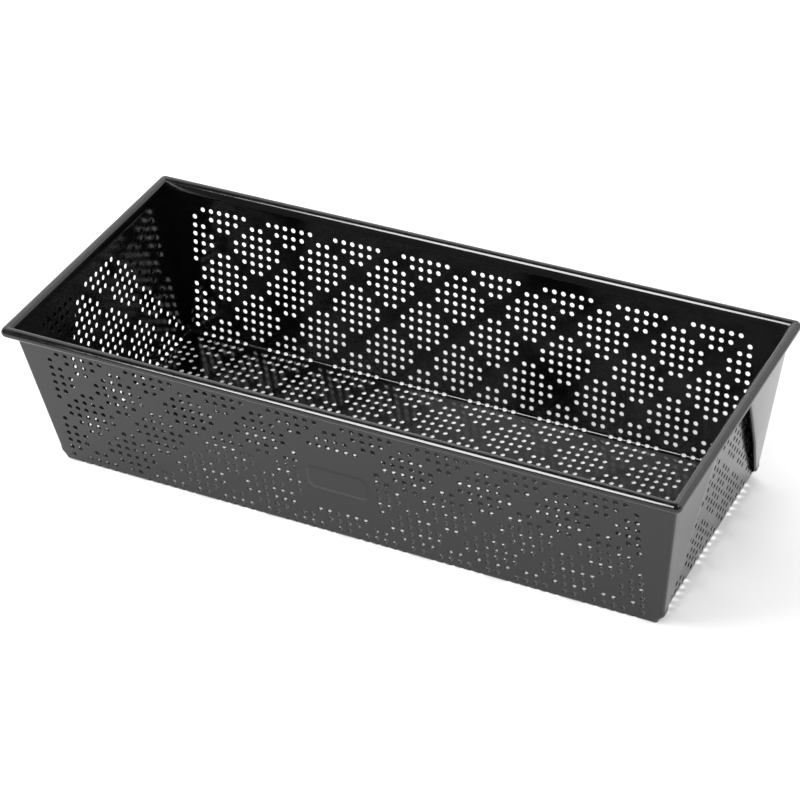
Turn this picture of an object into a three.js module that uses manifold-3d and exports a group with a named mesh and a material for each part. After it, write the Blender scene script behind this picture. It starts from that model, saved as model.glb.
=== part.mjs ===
// Folded sheet-steel loaf tin with a wired rim.
//
// The body is one blank: a base, two long walls and two end walls that flare
// outwards, and a web of sheet at each corner that is pleated and laid flat
// against the end wall. All four top edges are rolled over a steel wire.
//
// Frame: millimetres, +Z up, X along the tin, Y across it, origin under the
// middle of the base. Each panel is its own mesh, parted at its fold line.

import * as THREE from 'three';
import { mergeVertices } from 'three/addons/utils/BufferGeometryUtils.js';
import Module from 'manifold-3d';

const wasm = await Module();
wasm.setup();

// ---- driving dimensions ----------------------------------------------------

const SHEET = 0.5;                 // sheet thickness, with its coating
const HALF_LENGTH = 137.5;         // centre to the end fold, at the sheet's middle
const HALF_WIDTH = 52.5;           // centre to the long fold
const FLARE = THREE.MathUtils.degToRad(7.6);   // every wall leans out by this
const BEND = 1.5;                  // radius of the folds, at the sheet's middle
const SEAM = 0.1;                  // parting between two panels at a fold

const RIM_HEIGHT = 71.2;           // the rolled rim's centre above the table
const RIM_OFFSET = 2.77;           // rim centre, outward from the wall's plane
const ROLL = 2.3;                  // outer radius of the rolled rim
const WIRE = 1.6;                  // radius of the wire inside it
const NECK_DROP = 2.7;             // the wall stops this far below the rim centre
const ROLL_END = THREE.MathUtils.degToRad(-225);    // heading of the roll's free edge

const PLEAT_GAP = 0.4;             // air between the layers of a pleat
const PLEAT_DROP = 2.7;            // a pleat's top edge below the rim centre
const EDGE_GAP = 0.3;              // air between neighbours at a corner edge
const CORNER_ROUND = 4;            // bottom corners of the long walls

// ---- angles and lengths that follow ----------------------------------------

const QUARTER = Math.PI / 2;
const BASE_LEVEL = SHEET / 2;                        // the base's mid-surface
const TURN = QUARTER - FLARE;                        // a fold turns this far
const SETBACK = BEND * Math.tan(TURN / 2);           // fold line to the bend's end
const WALL_TOP = (RIM_HEIGHT - NECK_DROP - BASE_LEVEL) / Math.cos(FLARE);
const PLEAT_TOP = (RIM_HEIGHT - PLEAT_DROP - BASE_LEVEL) / Math.cos(FLARE);
const PLEAT_DEPTH = 2 * SHEET + PLEAT_GAP;           // two layers and their gap
const CORNER_REACH = SHEET / 2 + PLEAT_GAP + PLEAT_DEPTH;   // end wall to pleat's face
const RIM_REACH = (RIM_HEIGHT - BASE_LEVEL) * Math.tan(FLARE) + RIM_OFFSET;
const CORNER_LEAN = Math.atan(Math.sin(FLARE));      // a corner edge, seen in its wall
const PLEAT_LEAN = QUARTER / 2 - 2 * CORNER_LEAN;    // the free fold, from upright

const coated = new THREE.MeshStandardMaterial({
  color: 0x0c0c0d, roughness: 0.28, metalness: 0.0,
});
const rimmed = new THREE.MeshStandardMaterial({
  color: 0x101011, roughness: 0.25, metalness: 0.0,
});
const bareWire = new THREE.MeshStandardMaterial({
  color: 0x8c8e90, roughness: 0.35, metalness: 1.0,
});

// ---- helpers ---------------------------------------------------------------

function toSolid(geometry) {
  const bare = geometry.clone();
  bare.deleteAttribute('normal');
  bare.deleteAttribute('uv');
  const merged = mergeVertices(bare, 1e-5);
  return new wasm.Manifold(new wasm.Mesh({
    numProp: 3,
    vertProperties: new Float32Array(merged.attributes.position.array),
    triVerts: new Uint32Array(merged.index.array),
  }));
}

function fromSolid(solid) {
  const mesh = solid.getMesh();
  const geometry = new THREE.BufferGeometry();
  geometry.setAttribute('position',
    new THREE.BufferAttribute(new Float32Array(mesh.vertProperties), 3));
  geometry.setIndex(new THREE.BufferAttribute(new Uint32Array(mesh.triVerts), 1));
  geometry.computeVertexNormals();
  return geometry;
}

function part(name, geometry, material) {
  const mesh = new THREE.Mesh(geometry, material);
  mesh.name = name;
  return mesh;
}

// An outline in (outward, up), pushed along the wall from one side to the other.
function bar(outline, halfSpan) {
  const shape = new THREE.Shape(outline.map(([x, z]) => new THREE.Vector2(x, z)));
  const geometry = new THREE.ExtrudeGeometry(shape, {
    depth: 2 * halfSpan, bevelEnabled: false, steps: 1,
  });
  geometry.translate(0, 0, -halfSpan);
  return geometry.rotateX(QUARTER);
}

// An outline in (along, up), given a thickness across the wall's plane.
function slab(outline, thickness) {
  const shape = new THREE.Shape(outline.map(([y, z]) => new THREE.Vector2(y, z)));
  const geometry = new THREE.ExtrudeGeometry(shape, {
    depth: thickness, bevelEnabled: false, steps: 1,
  });
  geometry.translate(0, 0, -thickness / 2);
  return geometry.applyMatrix4(new THREE.Matrix4().makeBasis(
    new THREE.Vector3(0, 1, 0), new THREE.Vector3(0, 0, 1), new THREE.Vector3(1, 0, 0)));
}

// Both faces of a strip of sheet whose mid-line is a list of points, each with
// the direction it heads in, measured from outward towards up.
function stripOutline(path) {
  const side = (s) => path.map(({ x, z, heading }) => [
    x - s * Math.sin(heading) * SHEET / 2, z + s * Math.cos(heading) * SHEET / 2]);
  return [...side(-1), ...side(1).reverse()];
}

// Points round an arc that turns from one heading to another.
function arcPath(cx, cz, radius, from, to, steps) {
  const hand = Math.sign(to - from);
  return Array.from({ length: steps + 1 }, (_, k) => {
    const heading = from + (to - from) * k / steps;
    return {
      x: cx + hand * radius * Math.sin(heading),
      z: cz - hand * radius * Math.cos(heading),
      heading,
    };
  });
}

// ---- base ------------------------------------------------------------------

function basePanel() {
  const geometry = new THREE.BoxGeometry(
    2 * (HALF_LENGTH - SETBACK - SEAM), 2 * (HALF_WIDTH - SETBACK - SEAM), SHEET);
  geometry.translate(0, 0, BASE_LEVEL);
  return part('base_panel', geometry, coated);
}

// ---- walls -----------------------------------------------------------------
// A wall is drawn with its fold line at the origin, x outward and z up, and
// y along the wall. Its panel rises from the bend at the base to the rim's neck.

function wallSection() {
  const bend = arcPath(-SETBACK, BEND, BEND, 0, TURN, 8);
  const top = {
    x: WALL_TOP * Math.sin(FLARE), z: WALL_TOP * Math.cos(FLARE), heading: TURN,
  };
  return stripOutline([...bend, top]);
}

// The half-width of a wall, `extra` past the corner edge, at a height.
const halfWidthAt = (halfSpan, extra, z) => halfSpan + extra + z * Math.tan(FLARE);

// A wall's outline seen square on, mirrored from its right-hand half.
const bothSides = (right) => [...right, ...right.map(([y, z]) => [-y, z]).reverse()];

function wallPanel(name, halfSpan, right) {
  const strip = toSolid(bar(wallSection(), halfSpan + 20));
  const face = toSolid(slab(bothSides(right), 60));
  return part(name, fromSolid(strip.intersect(face)), coated);
}

// A long wall passes the end walls' plane and closes the pleats' open side. Its
// bottom corners are rounded, where the web is drawn up off the table.
function longWall(name) {
  const low = halfWidthAt(HALF_LENGTH, CORNER_REACH, 0);
  const corner = Array.from({ length: 7 }, (_, k) => {
    const a = QUARTER * k / 6;
    return [low - CORNER_ROUND * (1 - Math.sin(a)), CORNER_ROUND * (1 - Math.cos(a)) - SHEET];
  });
  return wallPanel(name, HALF_LENGTH, [
    ...corner, [halfWidthAt(HALF_LENGTH, CORNER_REACH, WALL_TOP), WALL_TOP]]);
}

// An end wall fits between the long walls, and its bend stops short of theirs.
function endWall(name) {
  const extra = -SHEET / 2 - EDGE_GAP;
  const inset = HALF_WIDTH - SETBACK - SEAM;
  return wallPanel(name, HALF_WIDTH, [
    [inset, -2], [inset, 0.8], [halfWidthAt(HALF_WIDTH, extra, 0.8), 0.8],
    [halfWidthAt(HALF_WIDTH, extra, WALL_TOP), WALL_TOP]]);
}

// ---- corner pleats ---------------------------------------------------------
// The web's two layers lie on the outside of the end wall. They part at the
// corner edge and meet at the free fold, which leans in towards the middle.
// Drawn in the end wall's own plane: y along the wall, z up its slope.

function pleat(name, hand) {
  const inner = SHEET / 2 + PLEAT_GAP;
  const outer = inner + PLEAT_DEPTH;
  const mid = (inner + outer) / 2;
  const radius = PLEAT_DEPTH / 2;
  const reach = 90;

  // A hairpin in section: two layers and the round fold that joins them.
  const outline = [[inner, reach], [inner, 0]];
  for (let k = 1; k < 8; k += 1) {
    const a = Math.PI * k / 8;
    outline.push([mid - radius * Math.cos(a), -radius * Math.sin(a)]);
  }
  outline.push([outer, 0], [outer, reach], [outer - SHEET, reach], [outer - SHEET, 0]);
  for (let k = 1; k < 6; k += 1) {
    const a = Math.PI * k / 6;
    outline.push([mid + PLEAT_GAP / 2 * Math.cos(a), -PLEAT_GAP / 2 * Math.sin(a)]);
  }
  outline.push([inner + SHEET, 0], [inner + SHEET, reach]);

  // Stand the section along the free fold, layers spreading to the corner.
  const hairpin = new THREE.ExtrudeGeometry(
    new THREE.Shape(outline.map(([x, y]) => new THREE.Vector2(x, hand * y))),
    { depth: 120, bevelEnabled: false, steps: 1 });
  hairpin.translate(0, hand * radius, -10);
  hairpin.rotateX(hand * PLEAT_LEAN);
  hairpin.translate(0, hand * HALF_WIDTH, 0);

  // Trim it to the corner edge at one side and to the rim at the top.
  const edge = (z) => HALF_WIDTH - SHEET / 2 - EDGE_GAP + z * Math.tan(CORNER_LEAN);
  const low = 0.8;
  const trim = slab([
    [hand * edge(low), low], [hand * edge(PLEAT_TOP), PLEAT_TOP],
    [-hand * 5, PLEAT_TOP], [-hand * 5, low],
  ], 40);
  return part(name, fromSolid(toSolid(hairpin).intersect(toSolid(trim))), coated);
}

// ---- rim -------------------------------------------------------------------
// The neck leans out from the top of the wall and runs straight on to the roll, which
// closes round the wire. Drawn about the wire's centre, x outward and z up.

function rimSection() {
  const middle = ROLL - SHEET / 2;
  const foot = {
    x: -RIM_OFFSET - NECK_DROP * Math.tan(FLARE) + 2 * SEAM * Math.sin(FLARE),
    z: -NECK_DROP + 2 * SEAM * Math.cos(FLARE),
  };
  const heading = Math.atan2(-foot.z, -foot.x)
    + Math.asin(middle / Math.hypot(foot.x, foot.z));
  return stripOutline([
    { ...foot, heading }, ...arcPath(0, 0, middle, heading, ROLL_END, 28),
  ]);
}

// One side's rim, cut square across the corner so that neighbours meet in a mitre.
function rimRoll(name, halfSpan) {
  const reach = halfSpan + RIM_REACH;
  const strip = toSolid(bar(rimSection(), reach + 20));
  const shape = new THREE.Shape([
    new THREE.Vector2(20, reach + 20 - SEAM), new THREE.Vector2(-20, reach - 20 - SEAM),
    new THREE.Vector2(-20, -reach + 20 + SEAM), new THREE.Vector2(20, -reach - 20 + SEAM),
  ]);
  const wedge = new THREE.ExtrudeGeometry(shape, { depth: 40, bevelEnabled: false, steps: 1 });
  wedge.translate(0, 0, -20);
  return part(name, fromSolid(strip.intersect(toSolid(wedge))), rimmed);
}

// The wire is one length, bent round the four corners, its ends butted with a
// small gap in the middle of the rear side.
function rimWire() {
  const x = HALF_LENGTH + RIM_REACH;
  const y = HALF_WIDTH + RIM_REACH;
  const butt = 0.3;
  const run = (from, to) => {
    const [dx, dy] = [to[0] - from[0], to[1] - from[1]];
    const rod = new THREE.CylinderGeometry(WIRE, WIRE, Math.hypot(dx, dy), 16);
    rod.rotateZ(Math.atan2(dy, dx) - QUARTER);
    return toSolid(rod.translate(from[0] + dx / 2, from[1] + dy / 2, 0));
  };
  const elbow = (cx, cy) => toSolid(new THREE.SphereGeometry(WIRE, 16, 12).translate(cx, cy, 0));
  const pieces = [
    run([-butt, y], [-x, y]), elbow(-x, y), run([-x, y], [-x, -y]), elbow(-x, -y),
    run([-x, -y], [x, -y]), elbow(x, -y), run([x, -y], [x, y]), elbow(x, y),
    run([x, y], [butt, y]),
  ];
  const hoop = pieces.reduce((whole, piece) => whole.add(piece));
  return part('rim_wire', fromSolid(hoop), bareWire);
}

// ---- assembly --------------------------------------------------------------

// One side of the tin, turned to face outwards: its wall and what lies on it
// stand on the fold line, and its rim runs about the wire.
function side(turn, halfSpan, distance, wall, laidOn, rimName) {
  const group = new THREE.Group();
  group.rotation.z = turn;

  const fold = new THREE.Group();
  fold.position.set(distance, 0, BASE_LEVEL);
  const slope = new THREE.Group();
  slope.rotation.y = FLARE;
  laidOn.forEach((piece) => slope.add(piece));
  fold.add(wall, slope);

  const rim = rimRoll(rimName, halfSpan);
  rim.position.set(distance + RIM_REACH, 0, RIM_HEIGHT);
  group.add(fold, rim);
  return group;
}

const tin = new THREE.Group();
tin.add(
  basePanel(),
  side(-QUARTER, HALF_LENGTH, HALF_WIDTH, longWall('front_wall'), [], 'front_rim_roll'),
  side(QUARTER, HALF_LENGTH, HALF_WIDTH, longWall('rear_wall'), [], 'rear_rim_roll'),
  side(0, HALF_WIDTH, HALF_LENGTH, endWall('right_end_wall'),
    [pleat('rear_right_pleat', 1), pleat('front_right_pleat', -1)], 'right_rim_roll'),
  side(2 * QUARTER, HALF_WIDTH, HALF_LENGTH, endWall('left_end_wall'),
    [pleat('front_left_pleat', 1), pleat('rear_left_pleat', -1)], 'left_rim_roll'),
);
const wire = rimWire();
wire.position.z = RIM_HEIGHT;
tin.add(wire);

export default tin;
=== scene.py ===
"""A perforated loaf tin of black coated sheet steel, with a rolled and wired rim.

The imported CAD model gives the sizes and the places. Each of its sheet pieces is built
again here with its punched holes, soft folds and rounded corners, as one closed sheet.

Frame: metres, +Z up, X along the tin, Y across it, origin under the middle of the base.
"""

import math

import bmesh
import bpy
from mathutils import Matrix, Vector


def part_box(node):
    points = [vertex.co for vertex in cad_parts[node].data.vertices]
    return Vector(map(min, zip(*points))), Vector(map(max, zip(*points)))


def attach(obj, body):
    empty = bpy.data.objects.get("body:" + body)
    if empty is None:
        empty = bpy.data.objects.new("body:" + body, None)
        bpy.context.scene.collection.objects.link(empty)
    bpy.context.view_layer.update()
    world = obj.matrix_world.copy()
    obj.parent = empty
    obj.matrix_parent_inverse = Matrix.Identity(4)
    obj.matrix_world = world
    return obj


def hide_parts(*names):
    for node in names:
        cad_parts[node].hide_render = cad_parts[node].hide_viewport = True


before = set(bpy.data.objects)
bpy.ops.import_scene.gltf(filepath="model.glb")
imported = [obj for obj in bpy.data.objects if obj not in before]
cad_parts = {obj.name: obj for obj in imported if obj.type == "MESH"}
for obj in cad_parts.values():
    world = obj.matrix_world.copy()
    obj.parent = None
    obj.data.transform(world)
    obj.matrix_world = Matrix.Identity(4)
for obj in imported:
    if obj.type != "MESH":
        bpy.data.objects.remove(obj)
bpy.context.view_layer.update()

MM = 0.001

# ---- sizes: those of the CAD nodes, and the flare and folds as the CAD has them ----

base_low, base_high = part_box("base_panel")
wire_low, wire_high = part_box("rim_wire")
_, front_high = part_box("front_rim_roll")
_, end_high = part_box("right_end_wall")

FLARE = math.radians(7.6)            # every wall leans out by this
BEND = 1.5 * MM                      # radius of the folds, at the sheet's middle
SEAM = 0.1 * MM                      # parting between two CAD panels at a fold
TURN = math.pi / 2 - FLARE           # a fold turns this far
SETBACK = BEND * math.tan(TURN / 2)  # fold line to the end of the bend
SHEET = base_high.z - base_low.z               # thickness of the sheet
BASE_LEVEL = (base_high.z + base_low.z) / 2    # height of the base's middle
HALF_LENGTH = base_high.x + SETBACK + SEAM     # centre to the end fold line
HALF_WIDTH = base_high.y + SETBACK + SEAM      # centre to the long fold line
WIRE = (wire_high.z - wire_low.z) / 2          # radius of the wire
RIM_HEIGHT = (wire_high.z + wire_low.z) / 2    # height of the wire's centre
RIM_X = wire_high.x - WIRE                     # the wire's line along the end sides
RIM_Y = wire_high.y - WIRE                     # and along the long sides
ROLL = front_high.z - RIM_HEIGHT               # outer radius of the rolled rim
WALL_TOP = (end_high.z - BASE_LEVEL) / math.cos(FLARE)   # up a wall to its rim

# ---- the punched pattern -----------------------------------------------------------

PITCH = 4.2 * MM
HOLE = 1.1 * MM                      # radius of a hole
HOLE_EDGE = 0.08 * MM                # chamfer that the coating leaves round a hole
HOLE_WEAR = 0.35                     # how rubbed the coating is there, from 0 to 1
CELL_STEPS = 2                       # a cell's side is divided into twice this
BEND_STEPS = 4                       # and into twice this across a bend
COLUMNS = 64                         # holes along the tin, where none is left out
CROSS = 24                           # and across the base and the end walls
ROWS = 16                            # and up each wall
REPEAT = 8                           # the lozenges repeat at this many holes
LOZENGE = 3                          # holes from a lozenge's middle to its tip
LONG_ROW = 0.08 * PITCH              # lowest row of a long wall, above its fold line
END_ROW = -0.02 * PITCH              # and of an end wall
PUNCH_SHIFT = -0.1 * PITCH           # the pattern sits off centre along the tin by this
PLATE_FIRST, PLATE_LAST = 28, 35     # columns left plain for the embossed plate
PLATE_LOW, PLATE_HIGH = 4, 11        # and rows, counted from the rim
PLATE_STEPS = 8                      # each of those cells is divided into this many

# ---- the embossed plate on the front -----------------------------------------------

PLATE_WIDTH = 27 * MM
PLATE_TALL = 11.5 * MM
PLATE_ROUND = 3 * MM
PLATE_SLOPE = 1.0 * MM               # width of the raised edge's slope
PLATE_RAISE = 0.22 * MM

# ---- corners and pleats ------------------------------------------------------------

PLEAT_LEAN = math.pi / 4 - 2 * math.atan(math.sin(FLARE))   # the free fold, from upright
PLEAT_DROP = 2.7 * MM                # the pleats end this far below the wire's centre
PLEAT_TOP = (RIM_HEIGHT - PLEAT_DROP - BASE_LEVEL) / math.cos(FLARE)
CORNER_ARC = BEND * math.sin(TURN)   # radius of the upright corner
HAIRPIN_INSET = 1.0 * MM             # the inner fold stops this short of the long wall
NUB_RISE = 4.0 * MM                  # the pleat opens over this height at the bottom
NUB_BULGE = 0.45 * MM                # the web stands out by this as it opens
NUB_FADE = 1.6                       # and no more at this many times the rise
WIDE_PLEAT = 20 * MM                 # a pleat this wide stands off by its whole lift
CORNER_STEPS, LAYER_STEPS = 8, 10    # divisions round the corner, along each layer,
FOLD_STEPS, HAIRPIN_STEPS = 12, 10   # and round the free and the inner fold
CORNER_WEAR, FREE_FOLD_WEAR = 0.6, 0.9
FOLD_WEAR = 0.7                      # along the fold at the table,
FOLD_WEAR_REACH = 1.2 * MM           # fading over this

# From the middle of the end wall's sheet to the middle of a pleat's outer layer, at the
# left (-1) and at the right (1). The inner layer lies half-way.
LAYERS = {-1: 1.1 * MM, 1: 1.8 * MM}

# Each pleat's corner, its sides in x and in y, and how far its free fold stands off.
PLEATS = (("front_right", 1, -1, 0.15 * MM), ("rear_right", 1, 1, 1.3 * MM),
          ("front_left", -1, -1, 0.35 * MM), ("rear_left", -1, 1, 0.25 * MM))

# ---- rim ---------------------------------------------------------------------------

KNEE = 0.6 * MM                      # the neck leans out of the wall over twice this
ROLL_END = math.radians(-225)        # heading where the roll's edge tucks under
ELBOW = 0.6 * MM                     # corner radius of the rim at the wire's line
ELBOW_RUN = 1.0 * MM                 # the straight run ends this far before the corner
GROOVE = 0.2 * MM                    # depth of the seam at each rim corner
KNEE_STEPS, ROLL_STEPS = 6, 56       # divisions of the rim's section
ELBOW_STEPS, RUN_STEPS = 8, 60       # and along each side
CROWN_WEAR, ELBOW_WEAR = 0.55, 0.3


# ---- meshes ------------------------------------------------------------------------

NEAR = 1e-7                          # metres; points nearer than this are the same point
CREASE = math.radians(32)            # edges that turn more than this look sharp


class Layout:
    """Polygons laid out flat. Each point has a place (u, v), and how far the sheet's two
    faces dip towards its middle there. It becomes one closed sheet."""

    def __init__(self):
        self.points = []
        self.index = {}
        self.faces = []

    def point(self, u, v, dip=0.0):
        key = (round(u / NEAR), round(v / NEAR), round(dip / NEAR))
        if key not in self.index:
            self.index[key] = len(self.points)
            self.points.append((u, v, dip))
        return self.index[key]

    def face(self, *corners):
        ids = [self.point(*corner) for corner in corners]
        if len(set(ids)) == len(ids):
            self.faces.append(ids)

    def grid(self, us, vs):
        for u0, u1 in zip(us, us[1:]):
            for v0, v1 in zip(vs, vs[1:]):
                self.face((u0, v0), (u1, v0), (u1, v1), (u0, v1))

    def sheet(self, name, place, wear):
        """The closed sheet. place(u, v, lift) gives a point in space, and wear(u, v, dip)
        how rubbed the coating is there, from 0 to 1."""
        half = SHEET / 2
        verts, rubbed = [], []
        for side in (1, -1):
            for u, v, dip in self.points:
                verts.append(place(u, v, side * (half - dip)))
                rubbed.append(wear(u, v, dip))
        count = len(self.points)
        faces = [*self.faces, *([i + count for i in reversed(f)] for f in self.faces)]
        edges = {}
        for f in self.faces:
            for a, b in zip(f, [*f[1:], f[0]]):
                edges[(a, b)] = True
        for a, b in edges:
            if (b, a) not in edges:
                faces.append([b, a, a + count, b + count])
        return piece_from(name, verts, faces, rubbed)


def piece_from(name, verts, faces, rubbed):
    """A mesh object, closed and facing outwards, with a 'wear' value at each vertex."""
    mesh = bpy.data.meshes.new(name)
    mesh.from_pydata([tuple(v) for v in verts], [], faces)
    layer = mesh.attributes.new("wear", "FLOAT", "POINT")
    layer.data.foreach_set("value", rubbed)
    bm = bmesh.new()
    bm.from_mesh(mesh)
    bmesh.ops.remove_doubles(bm, verts=bm.verts, dist=NEAR)
    bmesh.ops.dissolve_degenerate(bm, edges=bm.edges, dist=NEAR)
    bmesh.ops.recalc_face_normals(bm, faces=bm.faces)
    if bm.calc_volume(signed=True) < 0:
        bmesh.ops.reverse_faces(bm, faces=bm.faces)
    bm.to_mesh(mesh)
    bm.free()
    mesh.shade_smooth()
    mesh.set_sharp_from_angle(angle=CREASE)
    piece = bpy.data.objects.new(name, mesh)
    bpy.context.collection.objects.link(piece)
    return piece


# ---- the punched sheet -------------------------------------------------------------

def is_punched(column, row):
    """The holes fill lozenges, which stand in two staggered sets."""
    half = REPEAT / 2
    for across, down in ((-0.5, 3.5), (3.5, -0.5)):
        du = abs((column - across + half) % REPEAT - half)
        dv = abs((row - down + half) % REPEAT - half)
        if du + dv <= LOZENGE:
            return True
    return False


def eased(middle, low, high, steps):
    """Stops between low and high that lie at even angles as seen from the middle."""
    stops = []
    for k in range(-steps, steps + 1):
        t = math.tan(math.pi / 4 * abs(k) / steps)
        stops.append(middle + t * ((high - middle) if k > 0 else (low - middle)))
    return stops


def cell_border(us, vs, outer=None):
    """The points round a cell, anticlockwise. outer can give other stops for its sides:
    low, right, high and left."""
    low, right, high, left = outer or (us, vs, us, vs)
    border = [(u, vs[0]) for u in low[:-1]]
    border += [(us[-1], v) for v in right[:-1]]
    border += [(u, vs[-1]) for u in reversed(high[1:])]
    border += [(us[0], v) for v in reversed(left[1:])]
    return border


def plain_cell(layout, us, vs, outer=None):
    layout.face(*cell_border(us, vs, outer))


def punched_cell(layout, middle, us, vs, outer=None):
    """A cell of sheet with a chamfered hole."""
    border = cell_border(us, vs, outer)
    angles = [math.atan2(v - middle[1], u - middle[0]) for u, v in border]

    def ring(radius):
        return [(middle[0] + radius * math.cos(a), middle[1] + radius * math.sin(a))
                for a in angles]

    lip, hole = ring(HOLE + HOLE_EDGE), ring(HOLE)
    for k, start in enumerate(border):
        n = (k + 1) % len(border)
        layout.face(start, border[n], lip[n], lip[k])
        layout.face(lip[k], lip[n], (*hole[n], HOLE_EDGE), (*hole[k], HOLE_EDGE))


# ---- the shape of a wall -----------------------------------------------------------

def wall_section(v, lift):
    """A point of a wall's section, as (outward, up) from its fold line. v runs up the
    wall, and lift is outward from the sheet's middle."""
    if v >= SETBACK:
        heading = TURN
        x, z = v * math.sin(FLARE), v * math.cos(FLARE)
    else:
        heading = TURN * (v + SETBACK) / (2 * SETBACK)
        x, z = BEND * math.sin(heading) - SETBACK, BEND * (1 - math.cos(heading))
    return x + lift * math.sin(heading), z - lift * math.cos(heading)


def smooth(t):
    t = min(max(t, 0.0), 1.0)
    return t * t * (3 - 2 * t)


def nub_rise(z):
    """A height above the fold line, as a share of the height over which a pleat opens."""
    return (z - SETBACK * math.cos(FLARE)) / NUB_RISE


def pleat_opening(z):
    """How far a pleat has opened at a height above the fold line, from 0 to 1."""
    return smooth(nub_rise(z))


def outer_stand_off(z, layers):
    """How far a pleat's outer layer stands off the end wall at that height."""
    faded = min(max(nub_rise(z) / NUB_FADE, 0.0), 1.0)
    return layers * pleat_opening(z) + NUB_BULGE * math.sin(math.pi * faded) ** 2


def long_reach(v, side):
    """Half the length of a long wall, up to where its upright corner starts to turn."""
    if v <= SETBACK:
        return HALF_LENGTH - SETBACK
    z = v * math.cos(FLARE)
    return HALF_LENGTH + z * math.tan(FLARE) + outer_stand_off(z, LAYERS[side]) - CORNER_ARC


def end_reach(v):
    """Half the width of an end wall, up to the inner fold of its pleats."""
    if v <= SETBACK:
        return HALF_WIDTH - SETBACK
    z = v * math.cos(FLARE)
    inset = CORNER_ARC + (HAIRPIN_INSET - CORNER_ARC) * pleat_opening(z)
    return HALF_WIDTH + z * math.tan(FLARE) - inset


def plate_raise(u, v):
    """Height of the embossed plate, a plain one with rounded corners."""
    middle = (ROWS - 1 - (PLATE_LOW + PLATE_HIGH) / 2) * PITCH + LONG_ROW
    du = abs(u - PUNCH_SHIFT) - (PLATE_WIDTH / 2 - PLATE_ROUND)
    dv = abs(v - middle) - (PLATE_TALL / 2 - PLATE_ROUND)
    outside = math.hypot(max(du, 0), max(dv, 0)) + min(max(du, dv), 0) - PLATE_ROUND
    return PLATE_RAISE * smooth(0.5 - outside / PLATE_SLOPE)


def fold_wear(v):
    """The coating is rubbed a little along the fold at the table."""
    return FOLD_WEAR * math.exp(-((v / FOLD_WEAR_REACH) ** 2))


def column_stops(columns, shift=0.0):
    """The middle and the stops of each column's cell, along a wall of that many holes."""
    stops = []
    for i in range(columns):
        middle = (i - (columns - 1) / 2) * PITCH + shift
        low, high = middle - PITCH / 2, middle + PITCH / 2
        stops.append((middle, eased(middle, low, high, CELL_STEPS)))
    return stops


def row_stops(lowest):
    """The middle and the stops of each row's cell, from the bottom up. The lowest row
    lies on the bend."""
    stops = []
    for k in range(ROWS):
        middle = lowest + k * PITCH
        low = -SETBACK if k == 0 else middle - PITCH / 2
        steps = BEND_STEPS if k == 0 else CELL_STEPS
        stops.append((middle, eased(middle, low, middle + PITCH / 2, steps)))
    return stops


def wall_levels(up):
    """The stops of all the rows, and the wall's top."""
    return [v for _, vs in up for v in vs[:-1]] + [up[-1][1][-1], WALL_TOP]


def wall_panel(name, columns, first, shift, lowest, reach, place, has_plate=False):
    """A wall's sheet: its cells, and margins out to its corners and up to the rim. first
    is the pattern's column that the wall starts at, and reach(v, side) the half length."""
    layout = Layout()
    across, up = column_stops(columns, shift), row_stops(lowest)
    fine = [PITCH * (k / PLATE_STEPS - 0.5) for k in range(PLATE_STEPS + 1)]

    def in_plate(i, row):
        return (has_plate and PLATE_FIRST <= i <= PLATE_LAST
                and PLATE_LOW <= row <= PLATE_HIGH)

    for k, (v, vs) in enumerate(up):
        row = ROWS - 1 - k
        for i, (u, us) in enumerate(across):
            fine_us, fine_vs = [u + f for f in fine], [v + f for f in fine]
            if in_plate(i, row):
                layout.grid(fine_us, fine_vs)
                continue
            beside = [in_plate(i, row + 1), in_plate(i + 1, row),
                      in_plate(i, row - 1), in_plate(i - 1, row)]
            outer = None
            if any(beside):
                outer = [fine_us if beside[0] else us, fine_vs if beside[1] else vs,
                         fine_us if beside[2] else us, fine_vs if beside[3] else vs]
            if is_punched(i + first, row):
                punched_cell(layout, (u, v), us, vs, outer)
            elif outer:
                plain_cell(layout, us, vs, outer)
            else:
                layout.grid(us, vs)

    levels = wall_levels(up)
    for v0, v1 in zip(levels, levels[1:]):
        for side, inner in ((-1, -across[0][1][0]), (1, across[-1][1][-1])):
            for t0, t1 in ((0.0, 0.5), (0.5, 1.0)):
                corners = [(side * (inner + t * (reach(v, side) - inner)), v)
                           for t, v in ((t0, v0), (t1, v0), (t1, v1), (t0, v1))]
                layout.face(*(corners if side > 0 else reversed(corners)))
    for _, us in across:
        layout.grid(us, levels[-2:])

    def wear(u, v, dip):
        return HOLE_WEAR if dip else fold_wear(v)

    return layout.sheet(name, place, wear)


def long_wall(name, side):
    """side is 1 at the rear and -1 at the front."""
    plate = side < 0

    def place(u, v, lift):
        raised = plate_raise(u, v) if plate else 0.0
        out, z = wall_section(v, lift + raised)
        return u, side * (HALF_WIDTH + out), BASE_LEVEL + z

    return wall_panel(name, COLUMNS, 0, PUNCH_SHIFT, LONG_ROW, long_reach, place, plate)


def end_wall(name, side):
    """side is 1 at the right and -1 at the left."""
    def place(u, v, lift):
        out, z = wall_section(v, lift)
        return side * (HALF_LENGTH + out), u, BASE_LEVEL + z

    return wall_panel(name, CROSS, ROWS, 0.0, END_ROW, lambda v, _: end_reach(v), place)


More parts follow.
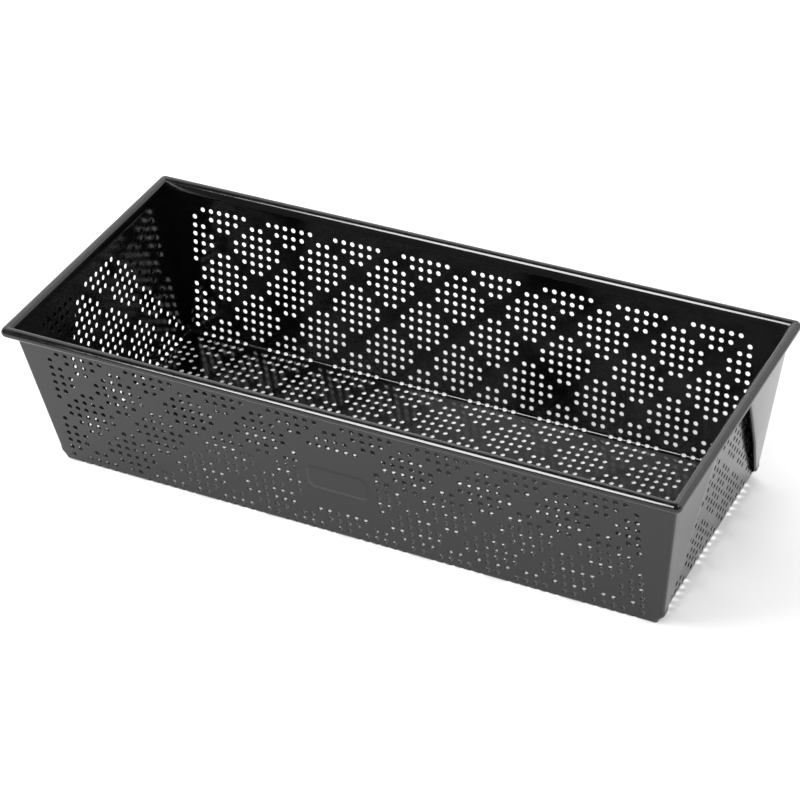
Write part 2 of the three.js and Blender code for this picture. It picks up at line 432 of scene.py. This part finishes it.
def base_panel():
    """The flat base: its cells, and plain margins out to the folds."""
    layout = Layout()
    across, up = column_stops(COLUMNS, PUNCH_SHIFT), column_stops(CROSS)
    for k, (v, vs) in enumerate(up):
        for i, (u, us) in enumerate(across):
            if is_punched(i, ROWS + CROSS - 1 - k):
                punched_cell(layout, (u, v), us, vs)
            else:
                plain_cell(layout, us, vs)
    out_u, out_v = HALF_LENGTH - SETBACK, HALF_WIDTH - SETBACK
    margins_u = [[-out_u, across[0][1][0]], [across[-1][1][-1], out_u]]
    margins_v = [[-out_v, up[0][1][0]], [up[-1][1][-1], out_v]]
    for margin in margins_u:
        for _, vs in up:
            layout.grid(margin, vs)
        for other in margins_v:
            layout.grid(margin, other)
    for margin in margins_v:
        for _, us in across:
            layout.grid(us, margin)

    def place(u, v, lift):
        return u, v, BASE_LEVEL - lift

    def wear(u, v, dip):
        return HOLE_WEAR if dip else 0.0

    return layout.sheet("base_panel_sheet", place, wear)


# ---- pleats ------------------------------------------------------------------------

def arc(start, end, steps):
    return [start + (end - start) * k / steps for k in range(steps + 1)]


def pleat_bend_row(v):
    """A level of a pleat on the bend at the table, where it is a plain round corner. All
    its other points lie together at the corner's end."""
    heading = TURN * (v + SETBACK) / (2 * SETBACK)
    radius = BEND * math.sin(heading)
    z = BEND * (1 - math.cos(heading))
    rest = 2 * LAYER_STEPS + FOLD_STEPS + HAIRPIN_STEPS
    row = []
    for a in arc(math.pi / 2, 0, CORNER_STEPS) + [0.0] * rest:
        facing = Vector((math.sin(heading) * math.cos(a),
                         math.sin(heading) * math.sin(a), -math.cos(heading)))
        row.append((Vector((HALF_LENGTH - SETBACK + radius * math.cos(a),
                            HALF_WIDTH - SETBACK + radius * math.sin(a), z)), facing))
    return row


def pleat_row(v, layers, lift):
    """One level of a pleat, from the long wall's end to the end wall's edge. Each item
    is a middle point (x, y, z) and the way its outer face looks. lift is how far the
    free fold stands off beyond the sheet's own layers."""
    if v <= SETBACK:
        return pleat_bend_row(v)
    flare = math.tan(FLARE)
    z = v * math.cos(FLARE)
    opened, outer = pleat_opening(z), outer_stand_off(z, layers)
    inner = layers / 2 * opened
    x, y = HALF_LENGTH + z * flare, HALF_WIDTH + z * flare
    fold_y = min(HALF_WIDTH - z * math.tan(PLEAT_LEAN), y - CORNER_ARC)
    hair_y = end_reach(v)
    span = max(y - CORNER_ARC - fold_y, 1e-6)

    def off(at):
        """The layers stand off more towards the free fold."""
        share = (y - CORNER_ARC - at) / span
        return lift * smooth(opened) * share * min(span / WIDE_PLEAT, 1)

    row = []

    def add(px, py, a, slope_x, slope_y):
        facing = Vector((math.cos(a), math.sin(a), 0))
        facing.z = -(facing.x * slope_x + facing.y * slope_y)
        row.append((Vector((px, py, z)), facing.normalized()))

    for a in arc(math.pi / 2, 0, CORNER_STEPS):
        add(x + outer - CORNER_ARC + CORNER_ARC * math.cos(a),
            y - CORNER_ARC + CORNER_ARC * math.sin(a), a, flare, flare)
    for t in arc(0, 1, LAYER_STEPS)[1:]:
        at = y - CORNER_ARC + (fold_y - y + CORNER_ARC) * t
        add(x + outer + off(at), at, 0, flare, 0)
    radius, middle = (outer - inner) / 2, x + (outer + inner) / 2 + off(fold_y)
    lean = -math.tan(PLEAT_LEAN) if fold_y < y - CORNER_ARC else flare
    for a in arc(0, -math.pi, FOLD_STEPS)[1:]:
        add(middle + radius * math.cos(a), fold_y + radius * math.sin(a), a, flare, lean)
    for t in arc(0, 1, LAYER_STEPS)[1:]:
        at = fold_y + (hair_y - fold_y) * t
        add(x + inner + off(min(at, y - CORNER_ARC)), at, -math.pi, flare, 0)
    for a in arc(0, math.pi, HAIRPIN_STEPS)[1:]:
        add(x + inner / 2 + inner / 2 * math.cos(a), hair_y + inner / 2 * math.sin(a),
            a + math.pi, flare, flare)
    return row


def pleat(name, side_x, side_y, lift):
    """The web of one corner: the round upright corner, an outer layer, the free fold and
    an inner layer that turns back into the end wall."""
    levels = wall_levels(row_stops(LONG_ROW)) + [PLEAT_TOP]
    rows = [pleat_row(v, LAYERS[side_x], lift) for v in levels]
    # The coating is rubbed on the middle of the upright corner and of the free fold.
    corner = range(2, CORNER_STEPS - 1)
    fold_start = CORNER_STEPS + LAYER_STEPS
    free_fold = range(fold_start + 2, fold_start + FOLD_STEPS - 3)
    verts, rubbed = [], []
    for half in (SHEET / 2, -SHEET / 2):
        for k, row in enumerate(rows):
            for n, (at, facing) in enumerate(row):
                p = at + facing * half
                verts.append((side_x * p.x, side_y * p.y, BASE_LEVEL + p.z))
                upright = CORNER_WEAR if n in corner else 0.0
                free = FREE_FOLD_WEAR if n in free_fold else 0.0
                rubbed.append(max(upright, free, fold_wear(levels[k])))
    width, count = len(rows[0]), len(rows) * len(rows[0])
    faces = []
    for k in range(len(rows) - 1):
        for n in range(width - 1):
            a, b = k * width + n, k * width + n + 1
            c, d = b + width, a + width
            faces += [[a, b, c, d], [d + count, c + count, b + count, a + count]]
        for n in (0, width - 1):
            a, d = k * width + n, (k + 1) * width + n
            faces.append([a, d, d + count, a + count])
    for k in (0, len(rows) - 1):
        for n in range(width - 1):
            a, b = k * width + n, k * width + n + 1
            faces.append([a, b, b + count, a + count])
    return piece_from(name, verts, faces, rubbed)


# ---- rim ---------------------------------------------------------------------------

def rim_path():
    """The middle of the rim's sheet, as (outward, up, heading) about the wire's centre:
    the neck leans out of the wall and runs straight on to the roll."""
    middle = ROLL - SHEET / 2
    foot = Vector((HALF_WIDTH + WALL_TOP * math.sin(FLARE) - RIM_Y,
                   WALL_TOP * math.cos(FLARE) + BASE_LEVEL - RIM_HEIGHT))
    knee = foot + KNEE * Vector((math.sin(FLARE), math.cos(FLARE)))
    lean = math.atan2(-knee.y, -knee.x) + math.asin(middle / knee.length)
    neck = knee + KNEE * Vector((math.cos(lean), math.sin(lean)))
    path = []
    for t in arc(0, 1, KNEE_STEPS):
        at = foot.lerp(knee, t).lerp(knee.lerp(neck, t), t)
        path.append((at.x, at.y, TURN + (lean - TURN) * t))
    for heading in arc(lean, ROLL_END, ROLL_STEPS):
        path.append((-middle * math.sin(heading), middle * math.cos(heading), heading))
    return path


def rim_place(where, value, px, half_span):
    """A point that is px outward in the rim's section, at one station of a side: how far
    along the side it lies, and how far outward of the wire's line."""
    if where == "run":
        return value * (half_span - ELBOW - ELBOW_RUN), px
    knee = min(px, -ELBOW)
    along = half_span + knee + (px - knee) * math.sin(value)
    return (-along if where == "low" else along), knee + (px - knee) * math.cos(value)


def rim_side(name, turn, half_span, distance):
    """One side's rim. Its ends turn round the corner as far as the mitre, where the two
    sides meet in a shallow groove."""
    path = rim_path()
    stations = ([("low", a) for a in arc(math.pi / 4, 0, ELBOW_STEPS)]
                + [("run", t) for t in arc(-1, 1, RUN_STEPS)[1:-1]]
                + [("high", a) for a in arc(0, math.pi / 4, ELBOW_STEPS)])
    spin = Matrix.Rotation(turn, 3, "Z")
    verts, rubbed, loops = [], [], []
    for where, value in stations:
        sides = []
        dip = GROOVE if where != "run" and value > math.pi / 4 - 1e-6 else 0.0
        for face in (-1, 1):
            ring = []
            for x, z, heading in path:
                half = face * (SHEET / 2 - dip)
                px = x - half * math.sin(heading)
                pz = z + half * math.cos(heading)
                along, out = rim_place(where, value, px, half_span)
                ring.append(len(verts))
                verts.append(spin @ Vector((distance + out, along, RIM_HEIGHT + pz)))
                top = max(0.0, math.cos(heading)) ** 4 if z > 0 else 0.0
                rubbed.append(CROWN_WEAR * top + (ELBOW_WEAR if where != "run" else 0.0))
            sides.append(ring)
        loops.append(sides[0] + sides[1][::-1])
    faces = []
    for a, b in zip(loops, loops[1:]):
        for k in range(len(a)):
            n = (k + 1) % len(a)
            faces.append([a[k], a[n], b[n], b[k]])
    for loop in (loops[0], loops[-1]):
        last = len(loop) - 1
        for k in range(len(path) - 1):
            faces.append([loop[k], loop[k + 1], loop[last - k - 1], loop[last - k]])
    return piece_from(name, verts, faces, rubbed)


# ---- materials ---------------------------------------------------------------------

ENAMEL_IOR = 1.48
GLOSS_SPREAD = 0.02                  # the enamel's roughness varies by this each way
RUBBED_DULL = 0.16                   # and rises by this where it is rubbed

# Relief of the enamel, as the scale and detail of its noise, and its depth: pores, orange
# peel, and the waves of the sheet.
ENAMEL_RELIEF = ((3800, 1, 0.008 * MM), (1300, 2, 0.006 * MM), (45, 2, 0.12 * MM))


class Nodes:
    """A short way to write a material's nodes."""

    def __init__(self, name):
        self.material = bpy.data.materials.new(name)
        self.material.use_nodes = True
        self.tree = self.material.node_tree
        self.shader = self.tree.nodes["Principled BSDF"]
        self.place = self.add("ShaderNodeNewGeometry").outputs["Position"]

    def add(self, kind, **inputs):
        node = self.tree.nodes.new(kind)
        for key, value in inputs.items():
            self.put(node.inputs[key.replace("_", " ")], value)
        return node

    def put(self, socket, value):
        if isinstance(value, bpy.types.NodeSocket):
            self.tree.links.new(value, socket)
        else:
            socket.default_value = value

    def noise(self, scale, detail=3.0, roughness=0.5):
        node = self.add("ShaderNodeTexNoise", Vector=self.place, Scale=scale,
                        Detail=detail, Roughness=roughness)
        return node.outputs["Fac"]

    def ramp(self, value, low, high, to_low=0.0, to_high=1.0):
        node = self.add("ShaderNodeMapRange")
        for k, v in enumerate((value, low, high, to_low, to_high)):
            self.put(node.inputs[k], v)
        return node.outputs["Result"]

    def math(self, operation, a, b=0.0):
        node = self.tree.nodes.new("ShaderNodeMath")
        node.operation = operation
        self.put(node.inputs[0], a)
        self.put(node.inputs[1], b)
        return node.outputs["Value"]

    def mix(self, amount, a, b):
        node = self.tree.nodes.new("ShaderNodeMix")
        node.data_type = "RGBA"
        for k, v in ((0, amount), (6, a), (7, b)):
            self.put(node.inputs[k], v)
        return node.outputs[2]

    def bump(self, height, distance, strength=1.0, under=None):
        node = self.add("ShaderNodeBump", Height=height, Distance=distance,
                        Strength=strength)
        if under is not None:
            self.put(node.inputs["Normal"], under)
        return node.outputs["Normal"]


def coating(name, roughness, rubbed_to):
    """Black non-stick enamel on steel: glossy, with a fine orange peel, cloudy gloss,
    and a greyer, duller look where edges are rubbed."""
    n = Nodes(name)
    wear = n.add("ShaderNodeAttribute")
    wear.attribute_name = "wear"
    patchy = n.ramp(n.noise(350, 4, 0.65), 0.42, 0.62)
    rubbed = n.math("MULTIPLY", wear.outputs["Fac"], patchy)
    clouds = n.ramp(n.noise(28, 3), 0.3, 0.7)
    deep = n.mix(clouds, (0.0009, 0.0009, 0.0010, 1), (0.0014, 0.0014, 0.0013, 1))
    n.put(n.shader.inputs["Base Color"], n.mix(rubbed, deep, rubbed_to))
    gloss = n.ramp(clouds, 0, 1, roughness - GLOSS_SPREAD, roughness + GLOSS_SPREAD)
    dull = n.math("MULTIPLY", rubbed, RUBBED_DULL)
    n.put(n.shader.inputs["Roughness"], n.math("ADD", gloss, dull))
    n.shader.inputs["IOR"].default_value = ENAMEL_IOR
    normal = None
    for scale, detail, depth in ENAMEL_RELIEF:
        normal = n.bump(n.noise(scale, detail), depth, under=normal)
    n.put(n.shader.inputs["Normal"], normal)
    return n.material


def drawn_wire():
    """Plain steel wire, with a fine bumpy surface and a thin bloom of oxide."""
    n = Nodes("bare_wire_steel")
    bloom = n.ramp(n.noise(260, 4, 0.6), 0.4, 0.7)
    n.put(n.shader.inputs["Base Color"],
          n.mix(bloom, (0.32, 0.32, 0.33, 1), (0.17, 0.15, 0.13, 1)))
    n.put(n.shader.inputs["Roughness"], n.ramp(bloom, 0, 1, 0.3, 0.5))
    n.shader.inputs["Metallic"].default_value = 1.0
    n.put(n.shader.inputs["Normal"], n.bump(n.noise(2200, 2), 0.006 * MM))
    return n.material


def table_top():
    n = Nodes("pale_table")
    shade = n.ramp(n.noise(3, 3), 0.3, 0.7)
    n.put(n.shader.inputs["Base Color"],
          n.mix(shade, (0.86, 0.86, 0.86, 1), (0.88, 0.88, 0.88, 1)))
    n.shader.inputs["Roughness"].default_value = 0.9
    n.put(n.shader.inputs["Normal"], n.bump(n.noise(600, 2), 0.02 * MM))
    return n.material


# ---- the tin -----------------------------------------------------------------------

def finish_piece(piece, node, material):
    piece.data.materials.append(material)
    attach(piece, "root")
    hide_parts(node)


def build_tin():
    enamel = coating("black_enamel", 0.11, (0.014, 0.014, 0.0145, 1))
    rim_enamel = coating("black_enamel_rim", 0.10, (0.016, 0.016, 0.0165, 1))
    sheets = [
        (base_panel(), "base_panel"),
        (long_wall("front_wall_sheet", -1), "front_wall"),
        (long_wall("rear_wall_sheet", 1), "rear_wall"),
        (end_wall("left_end_wall_sheet", -1), "left_end_wall"),
        (end_wall("right_end_wall_sheet", 1), "right_end_wall"),
    ]
    for corner, side_x, side_y, lift in PLEATS:
        web = pleat(f"{corner}_pleat_web", side_x, side_y, lift)
        sheets.append((web, f"{corner}_pleat"))
    for piece, node in sheets:
        finish_piece(piece, node, enamel)
    rims = [("right", 0, RIM_Y, RIM_X), ("rear", math.pi / 2, RIM_X, RIM_Y),
            ("left", math.pi, RIM_Y, RIM_X), ("front", -math.pi / 2, RIM_X, RIM_Y)]
    for where, turn, span, distance in rims:
        piece = rim_side(f"{where}_rim_sheet", turn, span, distance)
        finish_piece(piece, f"{where}_rim_roll", rim_enamel)
    wire = bpy.data.objects["rim_wire"]
    steel = drawn_wire()
    for slot in wire.material_slots:
        slot.material = steel


# ---- studio ------------------------------------------------------------------------

CAMERA_AZIMUTH = math.radians(-61.276)     # from +X, seen from above
CAMERA_ELEVATION = math.radians(36.071)
CAMERA_ROLL = math.radians(3.456)          # clockwise
CAMERA_DISTANCE = 1134.8 * MM
CAMERA_AIM = Vector((0.27, -1.37, 36.0)) * MM
CAMERA_LENS = 121.86                       # mm
CAMERA_SENSOR = 36.0                       # mm
FLOOR_RADIUS = 1.5                         # metres
ROOM_LIGHT = 0.2                           # brightness of the room, as it lights the tin
BACKDROP = 1.0                             # and past the floor's edge, as the camera sees it

# Lights are given by name, azimuth in degrees and brightness as seen. The fills light the
# floor and show in no reflection. The key and the rear pair show in reflections only.
FILLS = (("front_fill", -61, 5.0), ("right_fill", 15, 0.6),
         ("rear_fill", 110, 2.7), ("left_fill", -165, 6.6))
REAR_PAIR = (("rear_left", 135, 1.6), ("rear_right", 50, 1.6))
KEY = ("key", -113, 21)


def direction(azimuth, elevation):
    return Vector((math.cos(azimuth) * math.cos(elevation),
                   math.sin(azimuth) * math.cos(elevation), math.sin(elevation)))


def add_camera():
    data = bpy.data.cameras.new("camera")
    data.lens, data.sensor_width = CAMERA_LENS, CAMERA_SENSOR
    data.clip_start, data.clip_end = 0.01, 20
    camera = bpy.data.objects.new("camera", data)
    bpy.context.collection.objects.link(camera)
    back = direction(CAMERA_AZIMUTH, CAMERA_ELEVATION)
    right = Vector((0, 0, 1)).cross(back).normalized()
    up = back.cross(right)
    turned = right * math.cos(CAMERA_ROLL) - up * math.sin(CAMERA_ROLL)
    upward = back.cross(turned)
    pose = Matrix((turned, upward, back)).transposed().to_4x4()
    pose.translation = CAMERA_AIM + back * CAMERA_DISTANCE
    camera.matrix_world = pose
    bpy.context.scene.camera = camera


def softbox(name, azimuth, radiance, elevation, distance, width, height):
    """A flat light that faces the tin. Angles are in degrees and sizes in metres."""
    data = bpy.data.lights.new(name, "AREA")
    data.shape = "RECTANGLE"
    data.size, data.size_y = width, height
    data.energy = radiance * math.pi * width * height
    light = bpy.data.objects.new(name, data)
    bpy.context.collection.objects.link(light)
    back = direction(math.radians(azimuth), math.radians(elevation))
    light.rotation_mode = "QUATERNION"
    light.rotation_quaternion = back.to_track_quat("Z", "Y")
    light.location = back * distance + Vector((0, 0, RIM_HEIGHT))
    light.visible_camera = False
    return light


def add_floor():
    bm = bmesh.new()
    bmesh.ops.create_circle(bm, cap_ends=True, radius=FLOOR_RADIUS, segments=96)
    mesh = bpy.data.meshes.new("floor")
    bm.to_mesh(mesh)
    bm.free()
    floor = bpy.data.objects.new("floor", mesh)
    bpy.context.collection.objects.link(floor)
    mesh.materials.append(table_top())


def add_room():
    """A dim white room, with a pale backdrop where the camera looks past the floor."""
    world = bpy.data.worlds.new("studio")
    world.use_nodes = True
    tree = world.node_tree
    background = tree.nodes["Background"]
    background.inputs["Color"].default_value = (1, 1, 1, 1)
    seen = tree.nodes.new("ShaderNodeLightPath").outputs["Is Camera Ray"]
    level = tree.nodes.new("ShaderNodeMapRange")
    level.inputs["To Min"].default_value = ROOM_LIGHT
    level.inputs["To Max"].default_value = BACKDROP
    tree.links.new(seen, level.inputs["Value"])
    tree.links.new(level.outputs["Result"], background.inputs["Strength"])
    bpy.context.scene.world = world


def build_studio():
    add_floor()
    add_room()
    for fill in FILLS:
        softbox(*fill, elevation=34, distance=1.6, width=1.8, height=1.1).visible_glossy = False
    key = softbox(*KEY, elevation=35, distance=1.5, width=0.52, height=0.97)
    key.visible_diffuse = False
    for rear in REAR_PAIR:
        light = softbox(*rear, elevation=33, distance=1.6, width=2.3, height=1.9)
        light.visible_diffuse = False
    bpy.context.scene.view_settings.view_transform = "Standard"
    bpy.context.scene.view_settings.look = "None"


build_tin()
add_camera()
build_studio()
